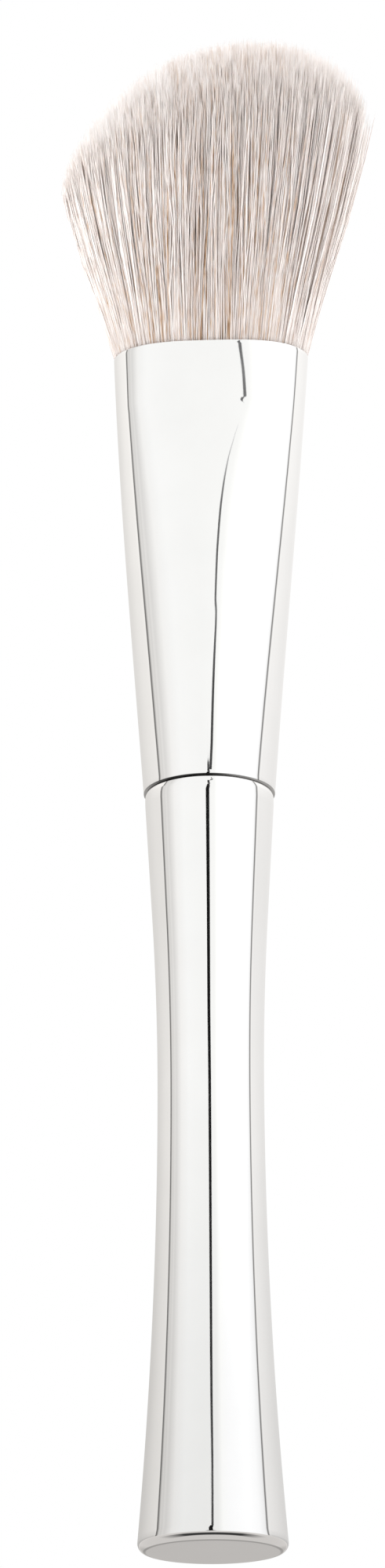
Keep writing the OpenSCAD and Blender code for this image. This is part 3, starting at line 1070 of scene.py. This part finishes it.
def key_light(settings):
    """Large soft light high on the short side, unseen by the metal.

    It stands round from the front to the short side and down from the zenith, and points at a target on
    the brush's axis.
    """
    size, reach, target_z = 0.9, 1.2, 0.1
    round_by, down_by = math.radians(-65), math.radians(36)
    data = bpy.data.lights.new("key", "AREA")
    data.shape = "DISK"
    data.size = size
    data.energy = settings.key_power
    light = put_object("key", data)
    aim = Matrix.Rotation(round_by, 4, "Z") @ Matrix.Rotation(down_by, 4, "X")
    target = Matrix.Translation((0.0, 0.0, target_z))
    light.matrix_world = target @ aim @ Matrix.Translation((0.0, 0.0, reach))
    light.visible_glossy = False
    return light


# Operators


class BRUSH_OT_handle(bpy.types.Operator):
    """Makes the polished handle with its tenon"""

    bl_idname = "blush_brush.handle"
    bl_label = "Make the handle"

    def execute(self, context):
        size, ferrule = context.scene.brush_handle, context.scene.brush_ferrule
        entry = np.array([0.0, HANDLE_HIGH.z - FERRULE_LOW.z])
        deep = half_thickness(ferrule, entry) - press(ferrule, entry)
        tightest = min(deep.min(), half_width(ferrule, entry).min())
        bore_r = tightest - ferrule.wall - lean(entry).max()
        profile = handle_profile(size, bore_r)
        low, high = (0.0, 0.0, 0.0), (0.0, 0.0, HANDLE_HIGH.z)
        mesh = closed_surface("handle_polished", revolved(profile, 256), low, high)
        mesh.set_sharp_from_angle(angle=math.radians(40))
        metal = polished_metal(
            "polished_handle", size.tint, size.polish, (0.05, 0.05, 1.0), size.foot_shade, 0.0, HANDLE_SHADE_LINE
        )
        put_piece("handle_polished", mesh, metal, "handle")
        return {"FINISHED"}


class BRUSH_OT_ferrule(bpy.types.Operator):
    """Makes the drawn ferrule, round at its lip and pressed flat at its mouth"""

    bl_idname = "blush_brush.ferrule"
    bl_label = "Make the ferrule"

    def execute(self, context):
        size = context.scene.brush_ferrule
        columns = 288
        rows = ferrule_rows(size)
        grid = ferrule_rings(size, rows[:, 0], rows[:, 1], round_angles(columns))
        faces = band_faces(len(rows), columns, closed_rows=True)
        mesh = put_mesh("ferrule_polished", grid.reshape(-1, 3), [faces])
        mesh.set_sharp_from_angle(angle=math.radians(50))
        metal = polished_metal(
            "polished_ferrule", size.tint, size.polish, (1.0, 1.0, 0.05), 1.0, FERRULE_LOW.z, FERRULE_SHADE_LINE
        )
        put_piece("ferrule_polished", mesh, metal, "ferrule")
        return {"FINISHED"}


class BRUSH_OT_resin(bpy.types.Operator):
    """Gives the resin plug its finish"""

    bl_idname = "blush_brush.resin"
    bl_label = "Finish the resin"

    def execute(self, context):
        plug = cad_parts["resin_plug"]
        plug.data.materials.clear()
        plug.data.materials.append(cured_resin("cured_resin"))
        return {"FINISHED"}


class BRUSH_OT_hair(bpy.types.Operator):
    """Makes the tuft: a packed core, four layers of fibres and a few strays"""

    bl_idname = "blush_brush.hair"
    bl_label = "Make the hair"

    def execute(self, context):
        ferrule, hair = context.scene.brush_ferrule, context.scene.brush_hair
        grid = core_grid(ferrule, hair, 4 * hair.lock_count)
        low = (0.0, 0.0, HAIR_LOW.z)
        high = grid[-1].mean(0)
        core = closed_surface("hair_core", grid, low, high)
        put_piece("hair_core", core, core_material("packed_fibre"), "hair_tuft")

        rng = np.random.default_rng(7)
        centres = disc_points(rng, hair.clump_count, 0.0, 1.02)
        clump_length = rng.normal(0, CLUMP_STEP, hair.clump_count)
        tone_at = streak_tones(rng, hair)
        material = fibre_material("fibre", hair)
        # Places of a fibre's rings, from 0 at the mouth to 1 at its tip. The layers inside start higher up,
        # since the ones round them hide what lies lower
        long_steps = np.array([-0.06, 0.25, 0.55, 0.8, 0.93, 1.0])
        middle_steps = np.array([0.3, 0.6, 0.8, 0.93, 1.0])
        short_steps = np.array([0.45, 0.75, 0.92, 1.0])
        # Each layer has its name, count, inner and outer share of the radius, rings, thickness, uneven
        # length in millimetres and share of tone from the streaks, and then how much painted light pales
        # its two sides and how much more it pales its short side than its long one
        layers = [
            ("hair_outer", hair.outer_count, 0.88, 1.0, long_steps, 1.0, 1.0, 0.5, 0.6, -0.5),
            ("hair_middle", hair.middle_count, 0.7, 0.9, middle_steps, 1.0, 1.0, 0.7, 2.2, 1.6),
            ("hair_inner", hair.inner_count, 0.45, 0.75, short_steps, 1.0, 1.0, 0.8, 3.4, 3.4),
            ("hair_heart", hair.heart_count, 0.0, 0.5, short_steps, 1.0, 1.0, 0.8, 3.4, 3.4),
            ("hair_strays", hair.stray_count, 0.9, 1.0, long_steps, 0.6, 1.6, 0.0, 1.4, 0.5),
        ]
        for name, count, inner, outer, steps, thickness, uneven, shared, both_sides_lift, short_side_lift in layers:
            place = disc_points(rng, count, inner, outer)
            tips, clump = gather(rng, place, centres)
            aside = tips[:, 0]
            tone = shared * tone_at(tips) + (1 - shared) * rng.beta(1.1, 0.9, count)
            tone = MIDDLE_TONE + (TONE_SPREAD - SIDE_CALM * aside**2) * (tone - MIDDLE_TONE)
            # Painted light: the two sides, and the short side more, are paled as if lit more
            tone += hair.side_painted_light * (both_sides_lift * aside**2 - short_side_lift * aside)
            tone = np.clip(tone, 0.004, 0.996)
            place = place + rng.normal(0, ROOT_STRAY, place.shape)
            place /= np.maximum(1, np.hypot(place[:, 0], place[:, 1]))[:, None]
            shorter = np.clip(np.abs(rng.normal(0, uneven, count)), 0, MOST_SHORT)
            proud = (rng.normal(PROUD, PROUD_SPREAD, count) - shorter) * MM
            path = fibre_paths(rng, ferrule, hair, place, tips, clump_length[clump] + proud, steps)
            radius = hair.fibre_r * thickness * rng.uniform(0.75, 1.2, count)
            mesh = fibre_mesh(name, rng, path, steps, radius, tone)
            put_piece(name, mesh, material, "hair_tuft")
        return {"FINISHED"}


class BRUSH_OT_studio(bpy.types.Operator):
    """Makes the floor, the lights and the camera"""

    bl_idname = "blush_brush.studio"
    bl_label = "Make the studio"

    def execute(self, context):
        settings = context.scene.brush_studio
        context.scene.world = studio_world(settings)
        context.scene.view_settings.view_transform = "Standard"
        slit_card("near_slit", settings.near_slit_r, NEAR_SLIT)
        slit_card("far_slit", settings.far_slit_r, FAR_SLIT)
        studio_floor(settings)
        key_light(settings)
        studio_camera(settings)
        return {"FINISHED"}


class BRUSH_PT_panel(bpy.types.Panel):
    """Lists the steps that make the brush"""

    bl_label = "Angled blush brush"
    bl_idname = "BRUSH_PT_panel"
    bl_space_type = "VIEW_3D"
    bl_region_type = "UI"
    bl_category = "Blush brush"

    def draw(self, context):
        for step in STEPS:
            self.layout.operator(step.bl_idname, text=step.bl_label)
        for group in SETTINGS:
            box = self.layout.box()
            for name in getattr(context.scene, group).__annotations__:
                box.prop(getattr(context.scene, group), name)


# The steps in the order in which main takes them
STEPS = (BRUSH_OT_studio, BRUSH_OT_handle, BRUSH_OT_ferrule, BRUSH_OT_resin, BRUSH_OT_hair)
CLASSES = (*SETTINGS.values(), *STEPS, BRUSH_PT_panel)


def register():
    """Registers the settings, the steps and the panel, and gives each scene its settings."""
    for kind in CLASSES:
        bpy.utils.register_class(kind)
    for name, kind in SETTINGS.items():
        setattr(bpy.types.Scene, name, bpy.props.PointerProperty(type=kind))


def unregister():
    """Takes back what register did."""
    for name in SETTINGS:
        delattr(bpy.types.Scene, name)
    for kind in reversed(CLASSES):
        bpy.utils.unregister_class(kind)


def main():
    """Makes the brush and its studio."""
    register()
    bpy.ops.blush_brush.studio()
    bpy.ops.blush_brush.handle()
    bpy.ops.blush_brush.ferrule()
    bpy.ops.blush_brush.resin()
    bpy.ops.blush_brush.hair()


if __name__ == "__main__":
    main()
